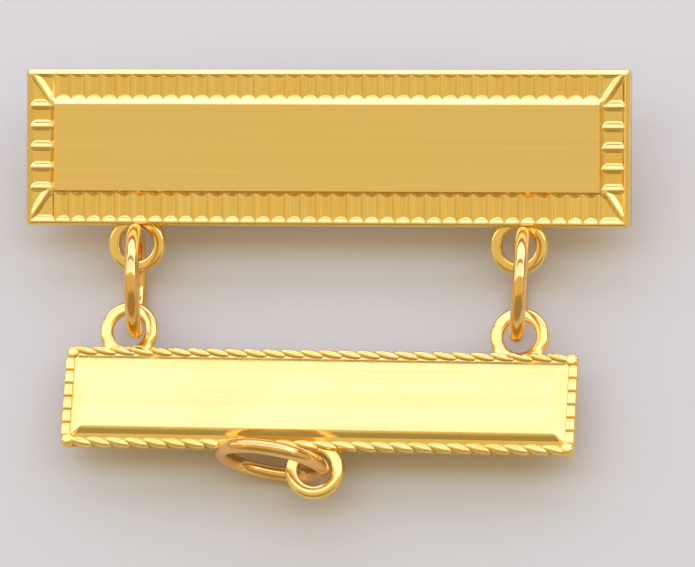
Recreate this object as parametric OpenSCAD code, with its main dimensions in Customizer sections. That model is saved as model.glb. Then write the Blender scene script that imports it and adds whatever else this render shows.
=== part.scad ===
// Two-bar jewel of gilt metal, lying face up on a table.
// The upper bar leans on the pin fitting at its back. Two jump rings stand on the table
// and carry the lower bar, and a third ring waits at its foot for a pendant.
// Millimetres, +Z up, the table is z = 0, +X runs along the bars.

/* [Upper bar] */
// Length of the upper bar
top_w = 41.3; // [38:0.1:46]
// Height of the upper bar, from lip to lip
top_h = 10.6; // [10.2:0.1:13]
// Thickness of the upper bar at its lip
top_t = 1.4; // [1.2:0.1:2.2]
// Width of the plain lip round the upper bar
lip_w = 0.33; // [0.25:0.01:0.5]
// Radius of the upper bar's corners
top_corner = 0.25; // [0.1:0.05:0.5]
// Width of the fluted border along the long sides
flute_l = 2; // [1.6:0.05:2.3]
// Width of the border across the two ends
end_l = 1.5; // [1.3:0.05:2.2]
// Depth of the pockets of the border
flute_depth = 0.3; // [0.2:0.02:0.5]
// Spacing of the flutes along the long sides
flute_pitch = 1.08; // [0.9:0.01:1.5]
// Spacing of the pockets across the two ends
end_pitch = 1.39; // [1.2:0.01:1.6]
// Number of pockets between the corners of each end
end_count = 4; // [2:1:4]
// Width of the crest between two pockets
crest_w = 0.2; // [0.12:0.02:0.3]
// Width of the slope at both ends of a flute
slope_w = 0.45; // [0.3:0.05:0.6]
// Width of the ridge across each corner of the border
mitre_w = 0.46; // [0.3:0.02:0.6]
// Rise of the panel above the crests
panel_rise = 0.3; // [0.15:0.05:0.5]
// Width of the slope round the panel
panel_slope = 0.33; // [0.2:0.01:0.5]

/* [Loops of the upper bar] */
// Distance of each upper loop from the middle of the bar
top_loop_x = 13.1; // [10:0.1:15]
// Outer diameter of the upper loops
top_loop_d = 3.95; // [3.7:0.05:4.4]
// Distance of their holes below the edge of the upper bar
top_loop_drop = 1.24; // [1.2:0.02:1.7]
// Play of the rings' wire in the holes of all the loops
ring_play = 1.3; // [1.25:0.05:1.4]
// Thickness of the loops
loop_t = 0.75; // [0.6:0.05:0.9]
// Rounding of the loops at their outer rims
rim_round = 0.3; // [0.15:0.05:0.35]
// Rounding of the loops at their holes
hole_round = 0.18; // [0.1:0.02:0.25]
// Height of the loops above the backs of the bars
loop_up = 0.1; // [0.05:0.05:0.3]

/* [Lower bar] */
// Length of the lower bar over its rope border
low_w = 35; // [32:0.1:38]
// Height of the lower bar over its rope border
low_h = 7; // [6.6:0.1:9]
// Thickness of the lower bar behind the rope
low_t = 0.85; // [0.8:0.05:1.4]
// Diameter of the rope border
rope_d = 0.7; // [0.5:0.02:0.8]
// Spacing of the rope's strands along the long sides
strand_pitch = 1.29; // [1.1:0.01:1.6]
// Spacing of the beads along the ends
bead_pitch = 0.92; // [0.8:0.01:1.2]
// Depth of the waist between two beads
bead_waist = 0.09; // [0.05:0.01:0.12]
// Distance from the outer edge to the foot of the panel
low_ledge = 0.96; // [0.82:0.02:1.1]
// Rise of the panel above the plate that carries the rope
low_rise = 0.26; // [0.16:0.02:0.5]
// Width of the slope round the panel
low_slope = 0.44; // [0.3:0.02:0.6]
// Distance of each carrying loop from the middle of the lower bar
low_loop_x = 13.35; // [10:0.05:15]
// Outer diameter of the carrying loops
low_loop_d = 4; // [3.8:0.05:4.5]
// Width of the neck between a carrying loop and the bar
neck_w = 3.7; // [3:0.1:3.8]
// Distance of their holes above the edge of the lower bar
low_loop_rise = 1.2; // [1.2:0.05:1.7]
// Outer diameter of the loop at the foot
foot_loop_d = 4; // [3.8:0.05:4.5]
// Thickness of the loop at the foot
foot_loop_t = 0.95; // [0.8:0.05:1.1]
// Distance of its hole below the edge of the lower bar
foot_drop = 1.24; // [1.2:0.02:1.9]

/* [Rings] */
// Outer diameter of the three rings
ring_d = 7.8; // [7.4:0.1:9]
// Thickness of their round wire
ring_wire = 1; // [0.8:0.05:1.1]
// Angle below the ring's middle at which its wire passes the loops
ring_cross = 24; // [20:1:30]
// Angle of the closed slit in each ring
ring_slit = 1.2; // [0.6:0.1:2]
// Where round the ring the slit is, from the side of its upper loop
ring_slit_at = 300; // [280:5:330]
// Lean of the left jump ring
left_lean = 7; // [4:0.5:9]
// Lean of the right jump ring
right_lean = 9; // [5:0.5:11]
// Turn of the left jump ring, seen from above
left_turn = 4; // [2:0.5:5]
// Turn of the right jump ring, seen from above
right_turn = -4; // [-5:0.5:0]
// Slip of the left jump ring towards the upper bar
left_slip = 0.03; // [0.02:0.01:0.08]
// Slip of the right jump ring towards the upper bar
right_slip = 0.09; // [0.07:0.01:0.14]
// Shift of the left jump ring to the right
left_side = 0.26; // [0.16:0.02:0.3]
// Turn of the ring at the foot towards the lower bar
foot_turn = 6.5; // [0:0.5:7]
// Lean of the ring at the foot towards the lower bar
foot_lean = 2; // [0:0.5:3]
// Slip of the ring at the foot away from the lower bar
foot_slip = 0.06; // [0.04:0.02:0.24]
// Shift of the ring at the foot to the right
foot_side = 0.36; // [0:0.02:0.4]

/* [Pose on the table] */
// Turn of the lower bar, seen from above
low_turn = -0.4; // [-1:0.1:1]
// Sideways shift of the lower bar
low_shift = 0.1; // [-0.3:0.1:0.3]

/* [Pin fitting] */
// Length of the fitting along the upper bar
pin_l = 27; // [22:0.5:32]
// Width of the fitting
pin_w = 2.6; // [2:0.1:3.5]
// Height of the fitting behind the upper bar
pin_h = 3.95; // [3.2:0.05:4.2]
// Distance of the fitting above the middle line of the bar
pin_y = 1.2; // [0:0.1:2]
// Thickness of its base strip
pin_base = 0.7; // [0.5:0.05:1]
// Length of the blocks at both its ends
pin_block = 3; // [2.5:0.1:4]
// Diameter of the pin's wire
pin_wire = 0.9; // [0.7:0.05:1.1]
// Gap between the fitting and the back of the bar
seat_gap = 0.03; // [0.02:0.01:0.06]

/* [Hidden] */
$fn = 64;
over = 1;         // how far a cutter reaches past the surface it opens
bite = 0.2;       // how far fused shapes reach into each other
ledge = 0.03;     // flat left between a slope and the pocket before it
deeper = 0.06;    // how far a cutter's open direction reaches below the floor it doesn't set
skin = 0.03;      // step that keeps the faces of fused shapes apart
gilt = [0.86, 0.66, 0.27];
gilt_bright = [0.95, 0.8, 0.42];
wire_gold = [0.8, 0.6, 0.25];

// The ring: its middle circle, and where it passes the loops
ring_r = (ring_d - ring_wire) / 2;
cross_out = ring_r * cos(ring_cross);
cross_down = ring_r * sin(ring_cross);
loop_z = ring_wire / 2 + ring_r - cross_down;
loop_mid = loop_up + loop_t / 2;
hole_d = ring_wire + ring_play;

// The upper bar leans until the lowest corner of its fitting meets the table
top_pivot_y = top_h / 2 + top_loop_drop;
heel_y = pin_y - pin_w / 2 + top_pivot_y;
heel_z = seat_gap + pin_h + loop_mid;
heel_r = norm([heel_y, heel_z]);
top_tilt = acos(loop_z / heel_r) - atan2(heel_y, heel_z);

// Where the loops stand: the line through the upper holes is y = hang_y
low_pivot_y = low_h / 2 + low_loop_rise;
foot_y = low_pivot_y + low_h / 2 + foot_drop;
reach_up = (top_pivot_y + top_h / 2) * cos(top_tilt) + loop_mid * sin(top_tilt);
reach_down = 2 * cross_out + foot_y * cos(low_turn) + foot_loop_d / 2;
hang_y = (reach_down - reach_up) / 2;
low_y = hang_y - 2 * cross_out;

// The border of the upper bar
border_x = top_w / 2 - lip_w;
border_y = top_h / 2 - lip_w;
panel_x = border_x - end_l;
panel_y = border_y - flute_l;
flute_count = round(2 * panel_x / flute_pitch);
flute_step = 2 * panel_x / flute_count;
end_span = end_count * end_pitch / 2;

// The lower bar's rope
rope_r = rope_d / 2;
rope_x = low_w / 2 - rope_r;
rope_y = low_h / 2 - rope_r;
strands = 3;
strand_count = round(2 * rope_x / strand_pitch);
bead_count = round(2 * rope_y / bead_pitch);
rope_cuts = 4;    // slices for each strand's spacing
lobe_points = 4;  // points round each strand

function turned(p, a) = [p[0] * cos(a) - p[1] * sin(a), p[0] * sin(a) + p[1] * cos(a)];

// Outline of the rope at angle a, a soft round with a lobe for each strand
function lobe(a) = rope_r * (0.89 + 0.11 * cos(strands * a));

// A plate with round corners, its back at z = 0
module plate(w, h, t, r) {
    linear_extrude(t) {
        square([w - 2 * r, h], center = true);
        square([w, h - 2 * r], center = true);
        for (x = [-1, 1], y = [-1, 1])
            translate([x * (w / 2 - r), y * (h / 2 - r)]) circle(r);
    }
}

// A section drawn in X and Z, carried along Y from y0 to y1
module along_y(y0, y1) {
    translate([0, y1, 0]) rotate([90, 0, 0]) linear_extrude(y1 - y0) children();
}

// A section drawn in Y and Z, carried along X from x0 to x1
module along_x(x0, x1) {
    translate([x0, 0, 0]) rotate([90, 0, 90]) linear_extrude(x1 - x0) children();
}

// Section of one pocket: half-width a at the surface, sides that round into a flat floor
module pocket_section(a, depth, slope) {
    polygon([[-a, over], [-a, 0], [-a + slope * 0.35, -depth * 0.7], [-a + slope, -depth],
             [a - slope, -depth], [a - slope * 0.35, -depth * 0.7], [a, 0], [a, over]]);
}

// Section of a trough between two lines, with sloping sides and an open floor
module trough_section(a, depth, slope) {
    deep = depth + deeper;
    run = slope * deep / depth;
    polygon([[-a, over], [-a, 0], [-a + run, -deep], [a - run, -deep], [a, 0], [a, over]]);
}

// A raised panel with slopes on its four sides; its foot is x by y, half-widths
module raised_panel(x, y, rise, slope) {
    intersection() {
        along_y(-y - over, y + over)
            polygon([[-x, -bite], [-x, 0], [-x + slope, rise], [x - slope, rise], [x, 0], [x, -bite]]);
        along_x(-x - over, x + over)
            polygon([[-y, -bite], [-y, 0], [-y + slope, rise], [y - slope, rise], [y, 0], [y, -bite]]);
    }
}

// A flat loop with rounded rims round the Z axis, its middle plane at z = 0
module loop(d, hole, t, rim) {
    ro = d / 2;
    ri = hole / 2;
    h = t / 2;
    k = hole_round;
    rotate_extrude()
        polygon([[ri, -h + k], [ri + k * 0.3, -h + k * 0.3], [ri + k, -h],
                 [ro - rim, -h], [ro - rim * 0.3, -h + rim * 0.3], [ro, -h + rim],
                 [ro, h - rim], [ro - rim * 0.3, h - rim * 0.3], [ro - rim, h],
                 [ri + k, h], [ri + k * 0.3, h - k * 0.3], [ri, h - k]]);
}

// Cutters for one long side of the border, towards +Y
module long_pockets() {
    mid = (border_y + panel_y) / 2 + ledge / 2;
    half = flute_l / 2 - ledge / 2;
    a = (flute_step - crest_w) / 2;
    translate([0, 0, top_t]) intersection() {
        along_x(-panel_x, panel_x) translate([mid, 0]) trough_section(half, flute_depth, slope_w);
        along_y(panel_y - over, border_y + over)
            for (i = [0 : flute_count - 1])
                translate([-panel_x + (i + 0.5) * flute_step, 0])
                    pocket_section(a, flute_depth, a * 0.55);
    }
}

// Cutters for one end of the border, towards +X
module end_pockets() {
    mid = (border_x + panel_x) / 2 + ledge / 2;
    half = end_l / 2 - ledge / 2;
    a = (end_pitch - crest_w) / 2;
    translate([0, 0, top_t]) intersection() {
        along_y(-end_span, end_span) translate([mid, 0]) trough_section(half, flute_depth, slope_w * 0.7);
        along_x(panel_x - over, border_x + over)
            for (i = [0 : end_count - 1])
                translate([-end_span + (i + 0.5) * end_pitch, 0])
                    pocket_section(a, flute_depth, a * 0.6);
    }
}

// Cutter for the corner towards +X and +Y: a pocket with a ridge left across it
module corner_pocket() {
    x0 = panel_x + ledge + crest_w / 2;
    y0 = end_span + crest_w / 2;
    w = border_x - x0;
    h = border_y - y0;
    translate([0, 0, top_t]) difference() {
        intersection() {
            along_y(y0 - over, border_y + over) translate([x0 + w / 2, 0])
                trough_section(w / 2, flute_depth, slope_w * 0.7);
            along_x(x0 - over, border_x + over) translate([y0 + h / 2, 0])
                pocket_section(h / 2, flute_depth, slope_w * 0.8);
        }
        translate([x0 + w / 2, y0 + h / 2, 0]) rotate([0, 0, atan2(h, w)])
            along_x(-border_x, border_x)
                polygon([[-mitre_w / 2 - flute_depth * 0.5, -flute_depth - over], [-mitre_w / 2, -0.2 * flute_depth],
                         [-mitre_w / 4, -skin], [mitre_w / 4, -skin],
                         [mitre_w / 2, -0.2 * flute_depth], [mitre_w / 2 + flute_depth * 0.5, -flute_depth - over]]);
    }
}

// The upper bar in its own frame: the middle of its back is the origin
module top_bar_flat() {
    difference() {
        union() {
            plate(top_w, top_h, top_t, top_corner);
            translate([0, 0, top_t]) raised_panel(panel_x, panel_y, panel_rise, panel_slope);
        }
        for (s = [0, 1]) mirror([0, s, 0]) long_pockets();
        for (s = [0, 1]) mirror([s, 0, 0]) end_pockets();
        for (s = [0, 1], u = [0, 1]) mirror([s, 0, 0]) mirror([0, u, 0]) corner_pocket();
    }
    for (s = [-1, 1]) translate([s * top_loop_x, -top_pivot_y, loop_mid])
        loop(top_loop_d, hole_d, loop_t, rim_round);
}

// Puts a shape of the upper bar's own frame where the bar lies
module on_top_bar() {
    translate([0, hang_y, loop_z]) rotate([top_tilt, 0, 0])
        translate([0, top_pivot_y, -loop_mid]) children();
}

module top_bar() {
    color(gilt) on_top_bar() top_bar_flat();
}

// One plain piece: base strip, two blocks and the pin's wire between them
module brooch_pin() {
    wire_z = -seat_gap - pin_h + pin_wire;
    block_x = pin_l / 2 - pin_block / 2;
    point_l = 3 * pin_wire;
    color(wire_gold) on_top_bar() translate([0, pin_y, 0]) {
        translate([-pin_l / 2, -pin_w / 2, -seat_gap - pin_base]) cube([pin_l, pin_w, pin_base]);
        for (s = [-1, 1])
            translate([s * block_x - pin_block / 2, -pin_w / 2 + skin * (1 - s) / 2, -seat_gap - pin_h])
                cube([pin_block, pin_w - skin * (1 - s), pin_h - pin_base / 2]);
        translate([-block_x, 0, wire_z]) rotate([0, 90, 0]) cylinder(h = 2 * block_x, d = pin_wire);
        translate([-block_x - pin_block / 2 - point_l, 0, wire_z]) rotate([0, 90, 0])
            cylinder(h = point_l + bite, d1 = pin_wire / 4, d2 = pin_wire, $fn = 64);
    }
}

// A lobed round along X, twisted so that count strands cross it
module rope(length, count) {
    section = [for (i = [0 : strands * lobe_points - 1])
        let (a = 360 * i / (strands * lobe_points)) lobe(a) * [cos(a), sin(a)]];
    translate([-length / 2, 0, 0]) rotate([90, 0, 90])
        linear_extrude(length, twist = -360 * count / strands, slices = count * rope_cuts, $fn = 12)
            polygon(section);
}

// A turned row of count beads along Y
module bead_row(length, count) {
    step = length / count;
    shape = [[0, rope_r - bead_waist], [0.12, rope_r - bead_waist * 0.35], [0.3, rope_r],
             [0.7, rope_r], [0.88, rope_r - bead_waist * 0.35]];
    rotate([90, 0, 0]) rotate_extrude()
        polygon(concat([[0, -length / 2]],
                       [for (i = [0 : count - 1], p = shape) [p[1], -length / 2 + (i + p[0]) * step]],
                       [[rope_r - bead_waist, length / 2], [0, length / 2]]));
}

// The lower bar in its own frame: the middle of its back is the origin
module name_bar_flat() {
    plate(low_w - rope_d, low_h - rope_d, low_t, rope_r);
    plate(low_w - 0.1 * rope_d, low_h - 0.1 * rope_d, low_t * 0.55, rope_r);
    translate([0, 0, low_t])
        raised_panel(low_w / 2 - low_ledge, low_h / 2 - low_ledge, low_rise, low_slope);
    for (s = [0, 180]) rotate([0, 0, s]) {
        translate([0, rope_y, low_t]) rope(2 * rope_x, strand_count);
        translate([rope_x, 0, low_t]) bead_row(2 * rope_y, bead_count);
    }
    for (x = [-1, 1], y = [-1, 1])
        translate([x * rope_x, y * rope_y, low_t]) sphere(rope_r * 1.04);
    for (s = [-1, 1]) translate([s * low_loop_x, low_pivot_y, loop_mid]) {
        loop(low_loop_d, hole_d, loop_t, rim_round);
        difference() {
            translate([-neck_w / 2, -low_loop_rise - bite, -loop_t / 2 + skin])
                cube([neck_w, low_loop_rise + bite, loop_t - 2 * skin]);
            cylinder(h = 2 * loop_t, d = (low_loop_d + hole_d) / 2, center = true);
        }
    }
    translate([0, -low_h / 2 - foot_drop, loop_mid]) loop(foot_loop_d, hole_d, foot_loop_t, rim_round);
}

module name_bar() {
    color(gilt_bright) translate([low_shift, low_y, loop_z]) rotate([0, 0, low_turn])
        translate([0, -low_pivot_y, -loop_mid]) name_bar_flat();
}

// A slit ring round the Y axis that passes the height of the loops at x = +/- cross_out
module ring() {
    translate([0, 0, cross_down]) rotate([90, 0, 0]) rotate([0, 0, ring_slit_at + ring_slit])
        rotate_extrude(angle = 360 - ring_slit) translate([ring_r, 0]) circle(d = ring_wire, $fn = 48);
}

// A ring through the loops' plane with its middle at p, turned by a and leaning by lean
module standing_ring(p, a, lean) {
    color(wire_gold) translate([p[0], p[1], loop_z]) rotate([0, 0, a]) rotate([lean, 0, 0]) ring();
}

// Jump ring between the upper and the lower hole of one side
module jump_ring(side, turn, lean, slip) {
    upper = [side * top_loop_x, hang_y];
    lower = [low_shift, low_y] + turned([side * low_loop_x, 0], low_turn);
    d = upper - lower;
    standing_ring((upper + lower) / 2 + slip, atan2(d[1], d[0]) + turn, lean);
}

module jump_ring_left() {
    jump_ring(-1, left_turn, left_lean, [left_side, left_slip]);
}

module jump_ring_right() {
    jump_ring(1, right_turn, right_lean, [0, right_slip]);
}

// The ring at the foot hangs in the lowest loop and lies to its left
module drop_ring() {
    hole = [low_shift, low_y] + turned([0, -foot_y - foot_slip], low_turn);
    a = low_turn - foot_turn;
    standing_ring(hole - turned([cross_out - foot_side, 0], a), a, -foot_lean);
}

top_bar();
brooch_pin();
jump_ring_left();
jump_ring_right();
name_bar();
drop_ring();
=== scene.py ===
import math

import bpy
import numpy as np
from mathutils import Matrix, Vector


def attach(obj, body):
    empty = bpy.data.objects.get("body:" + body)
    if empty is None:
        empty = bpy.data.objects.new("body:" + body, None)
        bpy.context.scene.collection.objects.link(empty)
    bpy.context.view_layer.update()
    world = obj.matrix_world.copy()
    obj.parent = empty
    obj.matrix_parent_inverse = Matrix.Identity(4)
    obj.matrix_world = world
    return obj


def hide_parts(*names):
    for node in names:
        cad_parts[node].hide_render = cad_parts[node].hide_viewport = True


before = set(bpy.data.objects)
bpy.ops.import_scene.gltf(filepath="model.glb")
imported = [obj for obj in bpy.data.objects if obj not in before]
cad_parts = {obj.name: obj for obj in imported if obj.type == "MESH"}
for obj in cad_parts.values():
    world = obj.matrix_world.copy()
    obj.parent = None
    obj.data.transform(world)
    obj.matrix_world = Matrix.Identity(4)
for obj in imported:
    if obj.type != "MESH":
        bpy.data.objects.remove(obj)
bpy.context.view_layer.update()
print("frame loaded:", sorted(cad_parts))

# All sizes are millimetres and degrees, and become metres when a piece is made
metre = 0.001
body = "root"
hair = 0.001             # by which a wire stays inside the solid's own
tiny = 1e-9              # keeps a division from zero
crisp = 40               # edges that turn by more than this stay sharp

rings = {
    "outer": 7.8,          # outer diameter
    "wire": 1.0,           # wire thickness
    "crossAngle": 24,      # how far below its middle a ring passes the loops
    "slit": 1.2,           # closed slit, as an angle
    "slitAt": 300,         # where the slit is
    "leftLean": 7,         # leans, turns and slips away from the straight place between two loops
    "rightLean": 9,
    "leftTurn": 4,
    "rightTurn": -4,
    "leftSlip": (0.26, 0.03),
    "rightSlip": (0, 0.09),
    "footTurn": 6.5,
    "footLean": 2,
    "footSlip": (0.36, 0.06),
}
loops = {
    "thick": 0.75,
    "up": 0.1,             # above the backs of the bars
    "play": 1.3,           # hole minus wire
    "rim": 0.3,            # rounding outside
    "holeRound": 0.18,
    "topX": 13.1,
    "topOuter": 3.95,
    "topDrop": 1.24,
    "lowX": 13.35,
    "lowOuter": 4.0,
    "lowRise": 1.2,
    "neck": 3.36,
    "neckSink": 0.5,       # how far a neck runs into the lower bar
    "footOuter": 4.0,
    "footThick": 0.95,
    "footDrop": 1.24,
}
upper = {
    "width": 41.3,
    "height": 10.6,
    "thick": 1.4,
    "lip": 0.33,
    "lipFall": 0.24,
    "endLipBend": 1.25,    # how late the lip falls at the ends and at the foot, 1 is evenly
    "footLipBend": 4,
    "corner": 0.25,
    "topBorder": 1.71,     # fluted borders above and below the field
    "footBorder": 1.93,
    "endBorder": 1.5,      # border across the ends
    "depth": 0.2,          # of the pockets
    "flutes": 35,
    "flutePitch": 1.063,
    "fluteBend": 2.2,      # of a flute's section, 2 is round and more is flatter
    "endPitch": 1.39,
    "endPockets": 4,
    "crest": 0.1,
    "lipCove": 0.48,       # hollow wall at the lower end of a pocket, at the lip
    "fieldCove": 0.34,     # and at the field
    "topCoveBend": 1.7,    # how hollow such a wall is, 1 is straight
    "footCoveBend": 2.0,
    "steepWall": 0.2,      # wall at the upper end of a pocket
    "sideWall": 0.22,
    "ridgeFace": 0.3,      # broad face of the ridge across a corner
    "ridgeTop": 0.16,
    "ridgeBack": 0.12,
    "rise": 0.3,           # field above the crests
    "slopeTop": 0.31,      # widths of the slopes round the field
    "slopeFoot": 0.11,
    "slopeEnd": 0.2,
    "flatMargin": (0.15, 0.1),     # kept fine round the flat middle of the field
    "sideRow": 0.6,        # level of a row of points round the bar's side, as a share of its thickness
    "backEdge": ((0.0, 0.12), (0.04, 0.03), (0.12, 0.0)),     # insets and levels
}
# How far two of the border's walls run into each other where they meet, as shares of the depth
blends = {"steepWall": 0.2, "flute": 0.25, "side": 0.3, "endPocket": 0.1, "cell": 0.08, "field": 0.12}
lower = {
    "width": 35.0,
    "height": 7.0,
    "thick": 0.85,
    "rope": 0.7,
    "lobeHeight": 1.0,     # a lobe reaches down the side of the bar
    "lobePinch": 0.97,     # how far a lobe's ends draw in, 1 is to a point
    "lobeOverlap": 1.02,   # length of a lobe as a share of its step
    "strands": 26,
    "strandSlant": 0.5,    # how far a strand runs along while it crosses the rope
    "strandBend": 2,       # 2 makes a lobe round lengthways, more a flat bead with a narrow groove
    "strandWaist": (0.72, 0.3),    # groove between two strands, across and down, as shares of the radius
    "strandPower": 0.6,    # of a strand's section, 1 is round and less is boxier
    "beads": 6,
    "beadStep": 0.907,
    "beadShift": -0.1,     # of both rows towards the upper side
    "beadBend": 8,
    "beadWaist": (0.34, 0.3),
    "beadPower": 0.45,
    "knob": 0.48,          # radius of the round corners
    "knobGrooves": (-50, 0, 50),
    "knobGroove": (0.16, 0.13),    # depth as a share of the radius, width in radians
    "knobPower": (0.4, 0.7),       # of its section, across and up
    "ledge": 0.96,
    "rise": 0.26,
    "fieldSlope": 0.44,
    "turn": -0.4,
    "shift": 0.1,
}
fitting = {"width": 2.6, "height": 3.95, "y": 1.2, "gap": 0.03}

# The pose on the table, as the construction has it. The upper bar leans on its heel, the lower edge of
# the fitting behind it, and hangs in the rings, which stand on the table
ringMiddle = (rings["outer"] - rings["wire"]) / 2
crossOut = ringMiddle * math.cos(math.radians(rings["crossAngle"]))
crossDown = ringMiddle * math.sin(math.radians(rings["crossAngle"]))
loopLevel = rings["wire"] / 2 + ringMiddle - crossDown
loopMid = loops["up"] + loops["thick"] / 2
hole = rings["wire"] + loops["play"]
topPivot = upper["height"] / 2 + loops["topDrop"]
lowPivot = lower["height"] / 2 + loops["lowRise"]
footReach = lowPivot + lower["height"] / 2 + loops["footDrop"]
heelY = fitting["y"] - fitting["width"] / 2 + topPivot
heelZ = fitting["gap"] + fitting["height"] + loopMid
topTilt = math.acos(loopLevel / math.hypot(heelY, heelZ)) - math.atan2(heelY, heelZ)
lowTurn = math.radians(lower["turn"])
reachUp = (topPivot + upper["height"] / 2) * math.cos(topTilt) + loopMid * math.sin(topTilt)
reachDown = 2 * crossOut + footReach * math.cos(lowTurn) + loops["footOuter"] / 2
hangY = (reachDown - reachUp) / 2
lowY = hangY - 2 * crossOut

topPlace = (Matrix.Translation((0, hangY, loopLevel)) @ Matrix.Rotation(topTilt, 4, "X")
            @ Matrix.Translation((0, topPivot, -loopMid)))
lowPlace = (Matrix.Translation((lower["shift"], lowY, loopLevel)) @ Matrix.Rotation(lowTurn, 4, "Z")
            @ Matrix.Translation((0, -lowPivot, -loopMid)))

# The parts of the upper bar, from its middle
halfLength, halfHeight = upper["width"] / 2, upper["height"] / 2
borderX, borderY = halfLength - upper["lip"], halfHeight - upper["lip"]
fieldX = borderX - upper["endBorder"]
topY, footY = borderY - upper["topBorder"], borderY - upper["footBorder"]
fluteEnd = upper["flutes"] * upper["flutePitch"] / 2
endSpan = upper["endPockets"] * upper["endPitch"] / 2


def turned(x, y, angle):
    return Vector((x * math.cos(angle) - y * math.sin(angle), x * math.sin(angle) + y * math.cos(angle)))


def ringPlace(middle, angle, lean):
    return (Matrix.Translation((middle.x, middle.y, loopLevel)) @ Matrix.Rotation(angle, 4, "Z")
            @ Matrix.Rotation(math.radians(lean), 4, "X") @ Matrix.Translation((0, 0, crossDown))
            @ Matrix.Rotation(math.radians(90), 4, "X"))


def jumpRingPlace(side, lean, turn, slip):
    top = Vector((side * loops["topX"], hangY))
    low = Vector((lower["shift"], lowY)) + turned(side * loops["lowX"], 0, lowTurn)
    along = top - low
    return ringPlace((top + low) / 2 + Vector(slip), math.atan2(along.y, along.x) + math.radians(turn), lean)


def footRingPlace():
    side, down = rings["footSlip"]
    eye = Vector((lower["shift"], lowY)) + turned(0, -footReach - down, lowTurn)
    angle = lowTurn - math.radians(rings["footTurn"])
    return ringPlace(eye - turned(crossOut - side, 0, angle), angle, -rings["footLean"])


# Node helpers

def addNode(tree, kind, **settings):
    node = tree.nodes.new(kind)
    for name, value in settings.items():
        setattr(node, name, value)
    return node


def feed(tree, socket, item):
    # A link where item is the output of a node, or else a constant
    if hasattr(item, "is_output"):
        tree.links.new(item, socket)
    else:
        socket.default_value = item


def maths(tree, operation, *items):
    node = addNode(tree, "ShaderNodeMath", operation=operation)
    for socket, item in zip(node.inputs, items):
        feed(tree, socket, item)
    return node.outputs[0]


def alongX(tree, item):
    node = addNode(tree, "ShaderNodeCombineXYZ")
    tree.links.new(item, node.inputs["X"])
    return node.outputs["Vector"]


def mapRange(tree, value, low, high, toLow, toHigh):
    node = addNode(tree, "ShaderNodeMapRange")
    for label, item in (("Value", value), ("From Min", low), ("From Max", high), ("To Min", toLow),
                        ("To Max", toHigh)):
        feed(tree, node.inputs[label], item)
    return node.outputs["Result"]


def mixColour(tree, factor, first, second, mode="MIX"):
    node = addNode(tree, "ShaderNodeMix", data_type="RGBA", blend_type=mode)
    # the sockets of the colour kind share their labels with others, so they go by number
    for index, item in ((0, factor), (6, first), (7, second)):
        feed(tree, node.inputs[index], item)
    return node.outputs[2]


def noise(tree, vector, scale, detail):
    node = addNode(tree, "ShaderNodeTexNoise")
    node.inputs["Detail"].default_value = detail
    tree.links.new(vector, node.inputs["Vector"])
    feed(tree, node.inputs["Scale"], scale)
    return node.outputs["Fac"]


# Shader groups

def startGroup(name, inputs, outputs):
    tree = bpy.data.node_groups.new(name, "ShaderNodeTree")
    for label, kind, value in inputs:
        socket = tree.interface.new_socket(label, in_out="INPUT", socket_type=kind)
        socket.default_value = value
    for label, kind in outputs:
        tree.interface.new_socket(label, in_out="OUTPUT", socket_type=kind)
    return tree, addNode(tree, "NodeGroupInput"), addNode(tree, "NodeGroupOutput")


def plateFinishGroup():
    # Gold plate: soft patches of two tints, a fine grain, and wear that opens the gloss
    patchRange, wearRange = (0.35, 0.7), (0.12, 0.42)
    tree, given, out = startGroup(
        "plateFinish",
        [("Light", "NodeSocketColor", (1, 0.7, 0.22, 1)), ("Warm", "NodeSocketColor", (1, 0.6, 0.14, 1)),
         ("Patch Scale", "NodeSocketFloat", 120.0), ("Grain Scale", "NodeSocketFloat", 2500.0),
         ("Rough Low", "NodeSocketFloat", 0.12), ("Rough High", "NodeSocketFloat", 0.24)],
        [("Color", "NodeSocketColor"), ("Roughness", "NodeSocketFloat"), ("Height", "NodeSocketFloat")])
    where = addNode(tree, "ShaderNodeTexCoord").outputs["Object"]
    patches = noise(tree, where, given.outputs["Patch Scale"], detail=4)
    grain = noise(tree, where, given.outputs["Grain Scale"], detail=3)
    tint = mapRange(tree, patches, *patchRange, 0.0, 1.0)
    colour = mixColour(tree, tint, given.outputs["Light"], given.outputs["Warm"])
    wear = maths(tree, "MULTIPLY", patches, grain)
    rough = mapRange(tree, wear, *wearRange, given.outputs["Rough Low"], given.outputs["Rough High"])
    tree.links.new(colour, out.inputs["Color"])
    tree.links.new(rough, out.inputs["Roughness"])
    tree.links.new(grain, out.inputs["Height"])
    return tree


def fineLinesGroup():
    # Long fine lines left by a tool, level in the directions that Stretch makes short
    # Broader lines lie under the fine ones
    broadScale, fineWeight, maskRange = 0.3, 0.6, (0.55, 1.05)
    tree, given, out = startGroup(
        "fineLines",
        [("Across", "NodeSocketFloat", 9000.0), ("Stretch", "NodeSocketVector", (0.012, 1.0, 1.0))],
        [("Mask", "NodeSocketFloat"), ("Height", "NodeSocketFloat")])
    stretch = addNode(tree, "ShaderNodeMapping")
    tree.links.new(addNode(tree, "ShaderNodeTexCoord").outputs["Object"], stretch.inputs["Vector"])
    tree.links.new(given.outputs["Stretch"], stretch.inputs["Scale"])
    where = stretch.outputs["Vector"]
    fine = noise(tree, where, given.outputs["Across"], detail=3)
    broad = noise(tree, where, maths(tree, "MULTIPLY", given.outputs["Across"], broadScale), detail=2)
    total = maths(tree, "MULTIPLY_ADD", fine, fineWeight, broad)
    tree.links.new(mapRange(tree, total, *maskRange, 0.0, 1.0), out.inputs["Mask"])
    tree.links.new(total, out.inputs["Height"])
    return tree


plateFinish = plateFinishGroup()
fineLines = fineLinesGroup()


# Materials

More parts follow.
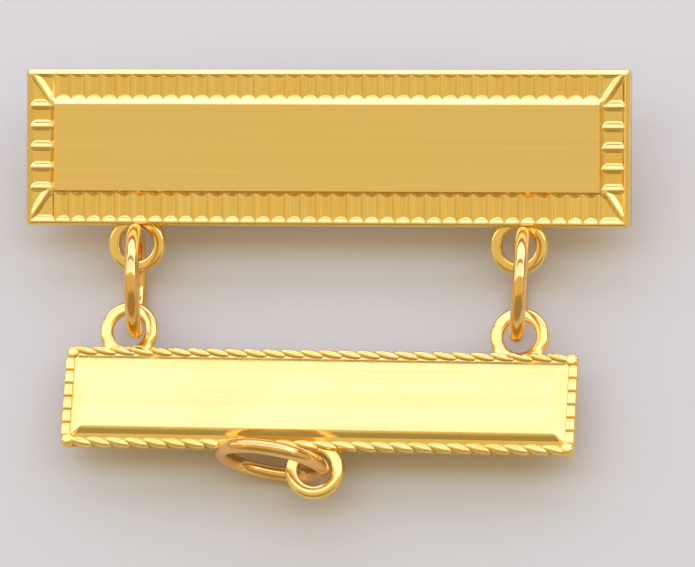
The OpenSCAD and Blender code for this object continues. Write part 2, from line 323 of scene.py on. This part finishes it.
def startMaterial(name, metallic, roughness):
    material = bpy.data.materials.new(name)
    material.use_nodes = True
    tree = material.node_tree
    shader = tree.nodes["Principled BSDF"]
    shader.inputs["Metallic"].default_value = metallic
    shader.inputs["Roughness"].default_value = roughness
    return material, tree, shader


def giltMaterial(name, look):
    # The plate's own grain, or a tool's lines where the look has them
    material, tree, shader = startMaterial(name, 1.0, look["roughHigh"])
    finish = addNode(tree, "ShaderNodeGroup", node_tree=plateFinish)
    for label, value in (("Light", look["light"] + (1,)), ("Warm", look["warm"] + (1,)),
                         ("Patch Scale", look["patch"]), ("Grain Scale", look["grain"]),
                         ("Rough Low", look["roughLow"]), ("Rough High", look["roughHigh"])):
        finish.inputs[label].default_value = value
    colour, height = finish.outputs["Color"], finish.outputs["Height"]
    if "across" in look:
        lines = addNode(tree, "ShaderNodeGroup", node_tree=fineLines)
        lines.inputs["Across"].default_value = look["across"]
        lines.inputs["Stretch"].default_value = look["stretch"]
        shade = mapRange(tree, lines.outputs["Mask"], 0.0, 1.0, 0.0, look["lineShade"])
        colour = mixColour(tree, shade, colour, look["lineColour"] + (1,), "MULTIPLY")
        height = lines.outputs["Height"]
    bump = addNode(tree, "ShaderNodeBump")
    bump.inputs["Strength"].default_value = look["bump"]
    bump.inputs["Distance"].default_value = look["bumpSize"] * metre
    tree.links.new(height, bump.inputs["Height"])
    tree.links.new(colour, shader.inputs["Base Color"])
    tree.links.new(finish.outputs["Roughness"], shader.inputs["Roughness"])
    tree.links.new(bump.outputs["Normal"], shader.inputs["Normal"])
    return material


cast = {"light": (1.0, 0.74, 0.25), "warm": (1.0, 0.69, 0.19), "patch": 420.0, "grain": 9000.0,
        "roughLow": 0.09, "roughHigh": 0.19, "bump": 0.12, "bumpSize": 0.012}
# darker fine streaks in the pockets of the upper bar
streaks = {"across": 4200.0, "lineShade": 0.35, "lineColour": (0.86, 0.74, 0.5), "bump": 0.45,
           "bumpSize": 0.008}
castGilt = giltMaterial("castGilt", cast)
fluteGilt = giltMaterial("fluteGilt", {**cast, **streaks, "stretch": (1.0, 0.04, 0.04)})
endGilt = giltMaterial("endGilt", {**cast, **streaks, "stretch": (0.04, 1.0, 1.0)})
fieldGilt = giltMaterial("fieldGilt", {
    "light": (1.0, 0.74, 0.28), "warm": (1.0, 0.73, 0.25), "patch": 160.0, "grain": 12000.0,
    "roughLow": 0.16, "roughHigh": 0.22, "across": 3600.0, "stretch": (0.012, 1.0, 1.0),
    "lineShade": 0.4, "lineColour": (0.88, 0.84, 0.74), "bump": 0.5, "bumpSize": 0.008})
brushedGilt = giltMaterial("brushedGilt", {
    "light": (1.0, 0.79, 0.30), "warm": (1.0, 0.77, 0.28), "patch": 200.0, "grain": 12000.0,
    "roughLow": 0.22, "roughHigh": 0.32, "across": 3200.0, "stretch": (0.012, 1.0, 1.0),
    "lineShade": 0.5, "lineColour": (0.9, 0.82, 0.66), "bump": 0.6, "bumpSize": 0.01})
# Painted shade: this gold is darker and warmer than the bars', standing in for the dark surroundings that the
# rings mirror
wireGiltPaintedShade = giltMaterial("wireGiltPaintedShade", {
    "light": (0.97, 0.62, 0.21), "warm": (0.92, 0.52, 0.15), "patch": 380.0, "grain": 6000.0,
    "roughLow": 0.08, "roughHigh": 0.18, "bump": 0.1, "bumpSize": 0.01})
fittingGilt = giltMaterial("fittingGilt", {
    "light": (0.95, 0.66, 0.24), "warm": (0.9, 0.56, 0.16), "patch": 300.0, "grain": 7000.0,
    "roughLow": 0.22, "roughHigh": 0.38, "bump": 0.2, "bumpSize": 0.02})
print("materials ready")


# Mesh helpers

def makeMesh(name, points, faces, place, materials, slots=None, sharp=crisp):
    mesh = bpy.data.meshes.new(name)
    mesh.from_pydata([(metre * (place @ Vector(p))) for p in points], [], faces)
    for material in materials:
        mesh.materials.append(material)
    if slots is not None:
        mesh.polygons.foreach_set("material_index", slots)
    mesh.polygons.foreach_set("use_smooth", [True] * len(mesh.polygons))
    mesh.update()
    mesh.validate()
    mesh.set_sharp_from_angle(angle=math.radians(sharp))
    return mesh


def tubeFaces(rows, sides):
    # The faces of rows of points that run round a shape, with a lid at each end
    faces = []
    for row in range(rows - 1):
        for i in range(sides):
            n = (i + 1) % sides
            faces.append((row * sides + i, row * sides + n, (row + 1) * sides + n, (row + 1) * sides + i))
    faces.append(tuple(range(sides))[::-1])
    faces.append(tuple(range((rows - 1) * sides, rows * sides)))
    return faces


def bowed(value, power):
    # Keeps its sign; a power below 1 makes a round section boxier
    return math.copysign(abs(value) ** power, value)


def showMesh(name, mesh):
    piece = bpy.data.objects.new(name, mesh)
    bpy.context.scene.collection.objects.link(piece)
    return piece


def joinMeshes(name, meshes):
    parts = [showMesh(name, mesh) for mesh in meshes]
    with bpy.context.temp_override(active_object=parts[0], object=parts[0], selected_objects=parts,
                                   selected_editable_objects=parts):
        bpy.ops.object.join()
    return parts[0]


def settle(piece, node):
    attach(piece, body)
    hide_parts(node)
    return piece


# Geometry Nodes: a tree is built once, run on a piece and taken off again

def startTree(name, inputs):
    tree = bpy.data.node_groups.new(name, "GeometryNodeTree")
    tree.interface.new_socket("Geometry", in_out="INPUT", socket_type="NodeSocketGeometry")
    for label, kind, value in inputs:
        socket = tree.interface.new_socket(label, in_out="INPUT", socket_type=kind)
        socket.default_value = value
    tree.interface.new_socket("Material", in_out="INPUT", socket_type="NodeSocketMaterial")
    tree.interface.new_socket("Geometry", in_out="OUTPUT", socket_type="NodeSocketGeometry")
    return tree, addNode(tree, "NodeGroupInput"), addNode(tree, "NodeGroupOutput")


def endTree(tree, given, out, geometry):
    real = addNode(tree, "GeometryNodeRealizeInstances")
    smooth = addNode(tree, "GeometryNodeSetShadeSmooth")
    paint = addNode(tree, "GeometryNodeSetMaterial")
    tree.links.new(geometry, real.inputs["Geometry"])
    tree.links.new(real.outputs["Geometry"], smooth.inputs["Geometry"])
    tree.links.new(smooth.outputs["Geometry"], paint.inputs["Geometry"])
    tree.links.new(given.outputs["Material"], paint.inputs["Material"])
    tree.links.new(paint.outputs["Geometry"], out.inputs["Geometry"])
    return tree


def runTree(tree, name, values, base=None):
    piece = showMesh(name, base or bpy.data.meshes.new(name))
    modifier = piece.modifiers.new(name, "NODES")
    modifier.node_group = tree
    for item in tree.interface.items_tree:
        if item.in_out == "INPUT" and item.name in values:
            modifier[item.identifier] = values[item.name]
    depsgraph = bpy.context.evaluated_depsgraph_get()
    mesh = bpy.data.meshes.new_from_object(piece.evaluated_get(depsgraph))
    bpy.data.objects.remove(piece)
    mesh.name = name
    mesh.set_sharp_from_angle(angle=math.radians(crisp))
    return mesh


def placed(mesh, place):
    # mesh is in metres, place in millimetres
    scale = Matrix.Scale(metre, 4)
    mesh.transform(scale @ place @ scale.inverted())
    return mesh


def wireRingTree():
    # An open ring: a round wire swept along an arc, with flat ends at its slit
    tree, given, out = startTree("wireRing", [("Radius", "NodeSocketFloat", 0.003),
                                              ("Wire Radius", "NodeSocketFloat", 0.0005),
                                              ("Sweep", "NodeSocketFloat", 6.2),
                                              ("Steps", "NodeSocketInt", 96), ("Sides", "NodeSocketInt", 28)])
    arc = addNode(tree, "GeometryNodeCurveArc")
    profile = addNode(tree, "GeometryNodeCurvePrimitiveCircle")
    sweep = addNode(tree, "GeometryNodeCurveToMesh")
    sweep.inputs["Fill Caps"].default_value = True
    for label, socket in (("Steps", arc.inputs["Resolution"]), ("Radius", arc.inputs["Radius"]),
                          ("Sweep", arc.inputs["Sweep Angle"]), ("Sides", profile.inputs["Resolution"]),
                          ("Wire Radius", profile.inputs["Radius"])):
        tree.links.new(given.outputs[label], socket)
    tree.links.new(arc.outputs["Curve"], sweep.inputs["Curve"])
    tree.links.new(profile.outputs["Curve"], sweep.inputs["Profile Curve"])
    return endTree(tree, given, out, sweep.outputs["Mesh"])


def rowTree():
    # Repeats the given shape along X, the row's middle at the origin
    tree, given, out = startTree("evenRow", [("Count", "NodeSocketInt", 7),
                                             ("Spacing", "NodeSocketFloat", 0.001)])
    steps = maths(tree, "SUBTRACT", given.outputs["Count"], 1)
    length = maths(tree, "MULTIPLY", steps, given.outputs["Spacing"])
    start = maths(tree, "MULTIPLY", length, -0.5)
    line = addNode(tree, "GeometryNodeMeshLine")
    tree.links.new(given.outputs["Count"], line.inputs["Count"])
    tree.links.new(alongX(tree, start), line.inputs["Start Location"])
    tree.links.new(alongX(tree, given.outputs["Spacing"]), line.inputs["Offset"])
    repeat = addNode(tree, "GeometryNodeInstanceOnPoints")
    tree.links.new(line.outputs["Mesh"], repeat.inputs["Points"])
    tree.links.new(given.outputs["Geometry"], repeat.inputs["Instance"])
    return endTree(tree, given, out, repeat.outputs["Instances"])


wireRing = wireRingTree()
evenRow = rowTree()


# Relief of the upper bar: depths and heights over a grid of points, where x and y are measured from
# the bar's middle as distances and upwards tells its upper half from its lower one

def softMin(a, b, k):
    near = np.maximum(k - np.abs(a - b), 0) / k
    return np.minimum(a, b) - near * near * k / 4


def cove(distance, width, bend):
    # A hollow wall, steep at its rim and level at its foot
    return 1 - (1 - np.clip(distance / width, 0, 1)) ** bend


def pocketWalls(inner, outer, upwards, innerCove, outerCove):
    # Each pocket has a hollow wall at its lower end and a steep one at its upper end
    hollow = np.where(upwards, cove(inner, innerCove, upper["topCoveBend"]),
                      cove(outer, outerCove, upper["footCoveBend"]))
    steep = np.where(upwards, outer, inner) / upper["steepWall"]
    return np.minimum(hollow, softMin(steep, 1.0, blends["steepWall"]))


def fluteDepth(x, y, upwards):
    pitch, fieldY = upper["flutePitch"], np.where(upwards, topY, footY)
    along = np.abs((x / pitch + upper["flutes"] / 2) % 1.0 - 0.5) * pitch / ((pitch - upper["crest"]) / 2)
    trough = 1 - np.clip(along, 0, 1) ** upper["fluteBend"]
    walls = pocketWalls(y - fieldY, borderY - y, upwards, upper["fieldCove"], upper["lipCove"])
    return np.where((x < fluteEnd) & (y > fieldY), softMin(walls, trough, blends["flute"]), 0)


def endPocketDepth(x, y, upwards):
    pitch, crest, wall = upper["endPitch"], upper["crest"], upper["lipCove"]
    along = (y / pitch) % 1.0 * pitch - crest / 2
    walls = pocketWalls(along, pitch - crest - along, upwards, wall, wall)
    sides = softMin(np.minimum(x - fieldX, borderX - x) / upper["sideWall"], 1.0, blends["side"])
    return np.where((x > fieldX) & (y < endSpan), softMin(walls, sides, blends["endPocket"]), 0)


def cornerDepth(x, y, upwards):
    # A corner's cell is an L round the corner of the field, and its ridge starts there
    half, wall, fieldY = upper["crest"] / 2, upper["lipCove"], np.where(upwards, topY, footY)
    cellX, x0, y0 = fluteEnd + half, fieldX + half, endSpan + half
    inner = np.minimum(x - cellX, np.maximum(x - x0, y - fieldY))
    sides = softMin(np.minimum(inner, borderX - x) / upper["sideWall"], 1.0, blends["side"])
    walls = pocketWalls(y - y0, borderY - y, upwards, wall, wall)
    w, h = borderX - x0, borderY - y0
    across = ((y - y0) * w - (x - x0) * h) / math.hypot(w, h) * np.where(upwards, 1, -1)
    ridge = np.where(across > 0, np.maximum(across - upper["ridgeTop"], 0) / upper["ridgeFace"],
                     -across / upper["ridgeBack"])
    cell = softMin(np.minimum(walls, sides), np.minimum(ridge, 1.0), blends["cell"])
    return np.where((inner > 0) & (y > y0), cell, 0)


def reliefHeight(x, y):
    upwards, x, y = y > 0, np.abs(x), np.abs(y)
    pockets = fluteDepth(x, y, upwards) + endPocketDepth(x, y, upwards) + cornerDepth(x, y, upwards)
    ends = np.clip((fieldX - x) / upper["slopeEnd"], 0, 1)
    sides = np.where(upwards, np.clip((topY - y) / upper["slopeTop"], 0, 1),
                     np.clip((footY - y) / upper["slopeFoot"], 0, 1))
    field = softMin(np.minimum(ends, sides), 1.0, blends["field"])
    edgeX = np.clip(1 - (halfLength - x) / upper["lip"], 0, 1) ** upper["endLipBend"]
    edgeY = np.clip(1 - (halfHeight - y) / upper["lip"], 0, 1)
    edgeY = np.where(upwards, edgeY, edgeY ** upper["footLipBend"])
    return (upper["thick"] - upper["depth"] * np.maximum(pockets, 0) + upper["rise"] * np.maximum(field, 0)
            - upper["lipFall"] * np.maximum(edgeX, edgeY))


# Upper bar

def spaced(*stops):
    # Grid lines from stops of (value, steps to the next one)
    lines = []
    for (a, steps), (b, _) in zip(stops, stops[1:]):
        lines += list(np.linspace(a, b, steps, endpoint=False))
    return np.array(lines + [stops[-1][0]])


def roundCorners(gridX, gridY, radius):
    # Draws the grid in at its four corners
    dx, dy = np.abs(gridX) - halfLength + radius, np.abs(gridY) - halfHeight + radius
    shrink = np.maximum(dx, dy) / np.maximum(np.hypot(dx, dy), tiny)
    roundX = np.sign(gridX) * (halfLength - radius + dx * shrink)
    roundY = np.sign(gridY) * (halfHeight - radius + dy * shrink)
    inCorner = (dx > 0) & (dy > 0)
    return np.where(inCorner, roundX, gridX), np.where(inCorner, roundY, gridY)


def upperBarMesh():
    fluteSteps, pocketSteps = 16, 24
    plain, field, flute, end = range(4)
    finishes = [castGilt, fieldGilt, fluteGilt, endGilt]
    xs = spaced((-halfLength, 4), (-borderX, 20), (-fieldX, 4), (-fluteEnd, upper["flutes"] * fluteSteps),
                (fluteEnd, 4), (fieldX, 20), (borderX, 4), (halfLength, 0))
    ys = spaced((-halfHeight, 5), (-borderY, 10), (-borderY + upper["lipCove"], 8),
                (-footY - upper["steepWall"], 5), (-footY, 3), (-footY + upper["slopeFoot"], 2),
                (-endSpan, upper["endPockets"] * pocketSteps), (endSpan, 3),
                (topY - upper["slopeTop"], 5), (topY, 8), (topY + upper["fieldCove"], 8),
                (borderY - upper["steepWall"], 5), (borderY, 5), (halfHeight, 0))
    gridX, gridY = np.meshgrid(xs, ys)
    gridZ = reliefHeight(gridX, gridY)
    gridX, gridY = roundCorners(gridX, gridY, upper["corner"])
    rows, columns = gridX.shape
    points = list(zip(gridX.ravel(), gridY.ravel(), gridZ.ravel()))
    faces, slots = [], []

    def at(row, column):
        return row * columns + column

    def finishAt(x, y):
        beside = y > topY or y < -footY
        if x > borderX or abs(y) > borderY or (x > fieldX and abs(y) > endSpan):
            return plain
        if x > fieldX:
            return end
        if beside:
            return plain if x > fluteEnd else flute
        return field

    # the flat middle of the field is one face
    marginX, marginY = upper["flatMargin"]
    flatX, flatY = fieldX - upper["slopeEnd"] - marginX, endSpan - marginY
    c0, c1 = np.searchsorted(xs, -flatX), np.searchsorted(xs, flatX) - 1
    r0, r1 = np.searchsorted(ys, -flatY), np.searchsorted(ys, flatY) - 1
    for row in range(rows - 1):
        for column in range(columns - 1):
            if r0 <= row < r1 and c0 <= column < c1:
                continue
            faces.append((at(row, column), at(row, column + 1), at(row + 1, column + 1), at(row + 1, column)))
            midX, midY = abs(xs[column] + xs[column + 1]) / 2, (ys[row] + ys[row + 1]) / 2
            slots.append(finishAt(midX, midY))
    faces.append([at(r0, c) for c in range(c0, c1)] + [at(r, c1) for r in range(r0, r1)]
                 + [at(r1, c) for c in range(c1, c0, -1)] + [at(r, c0) for r in range(r1, r0, -1)])
    slots.append(field)

    # the side and the edge at the back, then the back itself
    lastRow, lastColumn = rows - 1, columns - 1
    rim = ([at(0, c) for c in range(lastColumn)] + [at(r, lastColumn) for r in range(lastRow)]
           + [at(lastRow, c) for c in range(lastColumn, 0, -1)] + [at(r, 0) for r in range(lastRow, 0, -1)])
    for inset, level in ((0.0, upper["thick"] * upper["sideRow"]),) + upper["backEdge"]:
        below = list(range(len(points), len(points) + len(rim)))
        for index in rim:
            x, y, _ = points[index]
            points.append((x * (1 - inset / halfLength), y * (1 - inset / halfHeight), level))
        for i in range(len(rim)):
            j = (i + 1) % len(rim)
            faces.append((rim[j], rim[i], below[i], below[j]))
            slots.append(plain)
        rim = below
    faces.append(rim[::-1])
    slots.append(plain)
    return makeMesh("upperBar", points, faces, topPlace, finishes, slots, sharp=60)


def loopMesh(name, reach, thick, middle, place, segments=72):
    # A flat loop round its hole; reach(angle) is where its outer rim is
    half, inside, outside = thick / 2, loops["holeRound"], loops["rim"]
    quarter = [math.radians(a) for a in (0, 30, 60, 90)]
    points, faces = [], []
    for i in range(segments):
        angle = 2 * math.pi * i / segments
        inner, outer = hole / 2 + inside, reach(angle) - outside
        section = [(inner - inside * math.cos(a), half - inside + inside * math.sin(a)) for a in quarter]
        section += [(outer + outside * math.sin(a), half - outside + outside * math.cos(a)) for a in quarter]
        section += [(radius, -level) for radius, level in reversed(section)]
        points += [(middle[0] + radius * math.cos(angle), middle[1] + radius * math.sin(angle),
                    middle[2] + level) for radius, level in section]
    count = len(points) // segments
    for i in range(segments):
        for j in range(count):
            a, b = i * count, (i + 1) % segments * count
            n = (j + 1) % count
            faces.append((a + j, b + j, b + n, a + n))
    mesh = makeMesh(name, points, faces, place, [castGilt], sharp=50)
    mesh.flip_normals()
    return mesh


upperParts = [upperBarMesh()]
for side in (-1, 1):
    upperParts.append(loopMesh("upperLoop", lambda angle: loops["topOuter"] / 2, loops["thick"],
                               (side * loops["topX"], -topPivot, loopMid), topPlace))
upperBar = settle(joinMeshes("upperBar", upperParts), "top_bar")
print("upper bar:", len(upperBar.data.polygons), "faces")


# Lower bar

def roundRectangle(halfX, halfY, radius, steps=5):
    # Points of the outline, each with how far it faces +Y
    points = []
    for sx, sy, start in ((1, 1, 0), (-1, 1, 90), (-1, -1, 180), (1, -1, 270)):
        for i in range(steps + 1):
            angle = math.radians(start + 90 * i / steps)
            points.append((sx * (halfX - radius) + radius * math.cos(angle),
                           sy * (halfY - radius) + radius * math.sin(angle), math.sin(angle)))
    return points


def lowerPlateMesh():
    t, top, ledge = lower["thick"], lower["thick"] + lower["rise"], lower["ledge"]
    slope = ledge + lower["fieldSlope"]
    plain, brushed = range(2)
    # Inset from the outer edge, level along the foot and along the other sides, corner radius, and
    # the finish up to the next row: back edge, side, rope's seat, ledge, slope and field
    rows = [
        (0.24, 0.0, 0.0, 0.3, plain),
        (0.15, 0.03, 0.03, 0.3, plain),
        (0.1, 0.1, 0.1, 0.34, plain),
        (0.1, t * 0.55, t * 0.55, 0.34, plain),
        (0.3, t * 0.7, t * 0.9, 0.3, plain),
        (0.42, t * 0.9, t + 0.12, 0.2, plain),
        (0.55, t - 0.05, t + 0.18, 0.15, plain),
        (ledge - 0.03, t + 0.025, t + 0.215, 0.1, plain),
        (ledge, t + 0.035, t + 0.22, 0.1, plain),
        (ledge + 0.03, t + 0.05, t + 0.223, 0.09, plain),
        (slope - 0.04, top - 0.015, t + 0.25, 0.03, plain),
        (slope, top - 0.002, t + 0.253, 0.03, brushed),
        (slope + 0.08, top, top, 0.03, brushed),
    ]
    points = []
    for inset, foot, level, radius, _ in rows:
        outline = roundRectangle(lower["width"] / 2 - inset, lower["height"] / 2 - inset, radius)
        points += [(x, y, level + (foot - level) * max(-facing, 0)) for x, y, facing in outline]
    count = len(points) // len(rows)
    slots = [finish for _, _, _, _, finish in rows[:-1] for _ in range(count)] + [plain, brushed]
    return makeMesh("lowerBar", points, tubeFaces(len(rows), count), lowPlace, [castGilt, brushedGilt],
                    slots, sharp=30)


def neckReach(angle):
    # The carrying loop with its neck: the circle, or the neck's sides and foot where they reach further
    circle, half, foot = loops["lowOuter"] / 2, loops["neck"] / 2, loops["lowRise"] + loops["neckSink"]
    down = -math.sin(angle)
    if down <= 0:
        return circle
    return max(circle, min(half / max(abs(math.cos(angle)), tiny), foot / down))


def lobeMesh(length, waist, slant, bend, power, sides=28, steps=14):
    # One lobe of the border along X, its ends in planes that run aslant, so a row of them is a rope
    halfY, halfZ, halfX = lower["rope"] / 2, lower["lobeHeight"] / 2, length * lower["lobeOverlap"] / 2
    points = []
    for step in range(steps + 1):
        s = -math.cos(math.pi * step / steps)
        fall = 1 - (1 - lower["lobePinch"] * abs(s) ** bend) ** 0.5
        for i in range(sides):
            turn = 2 * math.pi * i / sides
            y = halfY * (1 - waist[0] * fall) * bowed(math.cos(turn), power)
            z = halfZ * (1 - waist[1] * fall) * bowed(math.sin(turn), power)
            points.append((s * halfX - slant * y / halfY, y, z))
    return makeMesh("lobe", points, tubeFaces(steps + 1, sides), Matrix.Identity(4), [castGilt])


def knobMesh(place, sides=72, rows=20):
    # The round end of two ropes at a corner, with grooves fanned over its outer side
    # Its poles are small flats, so that no face shrinks to a point
    pole = 0.02
    depth, width = lower["knobGroove"]
    powerAcross, powerUp = lower["knobPower"]
    points = []
    for row in range(rows + 1):
        level = math.pi * (row / rows - 0.5)
        height = lower["lobeHeight"] / 2 * bowed(math.sin(level), powerUp)
        reach = lower["knob"] * max(math.cos(level), pole) ** powerAcross
        for i in range(sides):
            turn = 2 * math.pi * i / sides
            off = min(abs(math.remainder(turn - math.radians(a), 2 * math.pi)) for a in lower["knobGrooves"])
            radius = reach * (1 - depth * math.exp(-(off / width) ** 2))
            points.append((radius * math.cos(turn), radius * math.sin(turn), height))
    return makeMesh("knob", points, tubeFaces(rows + 1, sides), place, [castGilt])


def lobeRow(name, count, step, lobe, place):
    row = runTree(evenRow, name, {"Count": count, "Spacing": step * metre, "Material": castGilt}, lobe)
    return placed(row, place)


lowerParts = [lowerPlateMesh()]
for side in (-1, 1):
    lowerParts.append(loopMesh("carryingLoop", neckReach, loops["thick"],
                               (side * loops["lowX"], lowPivot, loopMid), lowPlace))
lowerParts.append(loopMesh("footLoop", lambda angle: loops["footOuter"] / 2, loops["footThick"],
                           (0, -lower["height"] / 2 - loops["footDrop"], loopMid), lowPlace))
lowerBar = settle(joinMeshes("lowerBar", lowerParts), "name_bar")

ropeX, ropeY = (lower["width"] - lower["rope"]) / 2, (lower["height"] - lower["rope"]) / 2
ropeLevel = lower["thick"] + (lower["rope"] - lower["lobeHeight"]) / 2
strandStep = (2 * ropeX - lower["rope"]) / lower["strands"]
knobX, knobY = lower["width"] / 2 - lower["knob"], lower["height"] / 2 - lower["knob"]
ropeParts = []
for half in (1, -1):
    place = lowPlace @ Matrix.Rotation(0 if half > 0 else math.pi, 4, "Z")
    strand = lobeMesh(strandStep, lower["strandWaist"], lower["strandSlant"], lower["strandBend"],
                      lower["strandPower"])
    ropeParts.append(lobeRow("ropeSide", lower["strands"], strandStep, strand,
                             place @ Matrix.Translation((0, ropeY, ropeLevel))))
    bead = lobeMesh(lower["beadStep"], lower["beadWaist"], 0, lower["beadBend"], lower["beadPower"])
    ropeParts.append(lobeRow("beadSide", lower["beads"], lower["beadStep"], bead,
                             place @ Matrix.Translation((ropeX, half * lower["beadShift"], ropeLevel))
                             @ Matrix.Rotation(math.pi / 2, 4, "Z")))
for sx in (-1, 1):
    for sy in (-1, 1):
        ropeParts.append(knobMesh(lowPlace @ Matrix.Translation((sx * knobX, sy * knobY, ropeLevel))
                                  @ Matrix.Rotation(math.atan2(sy, sx), 4, "Z")))
ropeBorder = settle(joinMeshes("ropeBorder", ropeParts), "name_bar")
print("lower bar:", len(lowerBar.data.polygons) + len(ropeBorder.data.polygons), "faces")


# Rings

def ringPiece(name, node, place):
    wireRadius = rings["wire"] / 2 - hair
    sweep = math.radians(360 - rings["slit"])
    mesh = runTree(wireRing, name, {"Radius": ringMiddle * metre, "Wire Radius": wireRadius * metre,
                                    "Sweep": sweep, "Material": wireGiltPaintedShade})
    start = Matrix.Rotation(math.radians(rings["slitAt"] + rings["slit"]), 4, "Z")
    return settle(showMesh(name, placed(mesh, place @ start)), node)


ringPiece("leftJumpRing", "jump_ring_left",
          jumpRingPlace(-1, rings["leftLean"], rings["leftTurn"], rings["leftSlip"]))
ringPiece("rightJumpRing", "jump_ring_right",
          jumpRingPlace(1, rings["rightLean"], rings["rightTurn"], rings["rightSlip"]))
ringPiece("footRing", "drop_ring", footRingPlace())
print("rings ready")

# The hidden fitting keeps the solid's own shape
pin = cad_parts["brooch_pin"]
pin.data.materials.clear()
pin.data.materials.append(fittingGilt)


# Floor, light and camera. What stands away from the jewel is in metres

floorLook = {"half": 0.6, "colour": (0.76, 0.71, 0.61, 1), "roughness": 0.75}
worldLook = {"colour": (1.0, 0.84, 0.55, 1), "strength": 0.38}
lightDistance = 0.5
# Soft boxes: tilts from straight above towards +Y and towards +X, size, radiance and colour
lights = {
    "farBox": (16.5, 0, (1.4, 0.24), 1.1, (0.73, 1.0, 1.6)),          # mirrored in the lower field
    "farLowBox": (58, 0, (1.2, 0.36), 1.38, (0.88, 1.0, 1.74)),       # in the slopes that face away
    "topBox": (-14, 0, (1.3, 0.4), 0.36, (1.0, 0.87, 0.58)),          # in the upper field, which leans
    "leftBox": (15.7, -64, (0.22, 0.22), 0.95, (0.8, 1.0, 1.5)),      # in the slopes at the ends
    "rightBox": (15.7, 47.7, (0.22, 0.22), 0.95, (0.8, 1.0, 1.5)),
    "leftFill": (-12, -64, (0.4, 0.36), 0.28, (1.0, 0.87, 0.6)),      # in the sides of the flutes
    "rightFill": (-12, 64, (0.4, 0.36), 0.28, (1.0, 0.87, 0.6)),
}
shot = {
    "target": (1.624, 0.25, 3.0),
    "distance": 450.0,
    "tilt": 14.8,          # from straight above, towards -Y
    "yaw": 10.7,           # towards +X
    "roll": 3.165,
    "pixelsPerMm": 14.872,
    "width": 695,
    "sensor": 36.0,
    "clip": (0.01, 5),     # metres
}


def makeFloor():
    half = floorLook["half"]
    mesh = bpy.data.meshes.new("floor")
    mesh.from_pydata([(-half, -half, 0), (half, -half, 0), (half, half, 0), (-half, half, 0)], [],
                     [(0, 1, 2, 3)])
    material, _, shader = startMaterial("paleFloor", 0.0, floorLook["roughness"])
    shader.inputs["Base Color"].default_value = floorLook["colour"]
    mesh.materials.append(material)
    floor = showMesh("floor", mesh)


def makeWorld():
    world = bpy.data.worlds.new("studio")
    world.use_nodes = True
    background = world.node_tree.nodes["Background"]
    background.inputs["Color"].default_value = worldLook["colour"]
    background.inputs["Strength"].default_value = worldLook["strength"]
    bpy.context.scene.world = world


def makeLight(name, tiltY, tiltX, size, radiance, colour):
    direction = Vector((math.sin(math.radians(tiltX)), math.sin(math.radians(tiltY)), 0))
    direction.z = math.sqrt(max(1 - direction.x ** 2 - direction.y ** 2, 0))
    data = bpy.data.lights.new(name, "AREA")
    data.shape = "RECTANGLE"
    data.size, data.size_y = size
    data.energy = math.pi * size[0] * size[1] * radiance
    data.color = colour
    light = bpy.data.objects.new(name, data)
    light.location = direction * lightDistance
    light.rotation_euler = direction.to_track_quat("Z", "Y").to_euler()
    bpy.context.scene.collection.objects.link(light)


def makeCamera():
    tilt, yaw, roll = (math.radians(shot[key]) for key in ("tilt", "yaw", "roll"))
    back = Vector((math.sin(yaw) * math.cos(tilt), -math.sin(tilt), math.cos(yaw) * math.cos(tilt)))
    back.normalize()
    level = Vector((0, 1, 0)).cross(back).normalized()
    upright = back.cross(level)
    right = level * math.cos(roll) + upright * math.sin(roll)
    up = upright * math.cos(roll) - level * math.sin(roll)
    data = bpy.data.cameras.new("camera")
    data.sensor_width = shot["sensor"]
    data.lens = shot["sensor"] * shot["pixelsPerMm"] * shot["distance"] / shot["width"]
    data.clip_start, data.clip_end = shot["clip"]
    camera = bpy.data.objects.new("camera", data)
    place = (Vector(shot["target"]) + back * shot["distance"]) * metre
    camera.matrix_world = Matrix.Translation(place) @ Matrix((right, up, back)).transposed().to_4x4()
    bpy.context.scene.collection.objects.link(camera)
    bpy.context.scene.camera = camera


makeFloor()
makeWorld()
for name, settings in lights.items():
    makeLight(name, *settings)
makeCamera()
bpy.context.scene.view_settings.view_transform = "Standard"
print("stage ready")
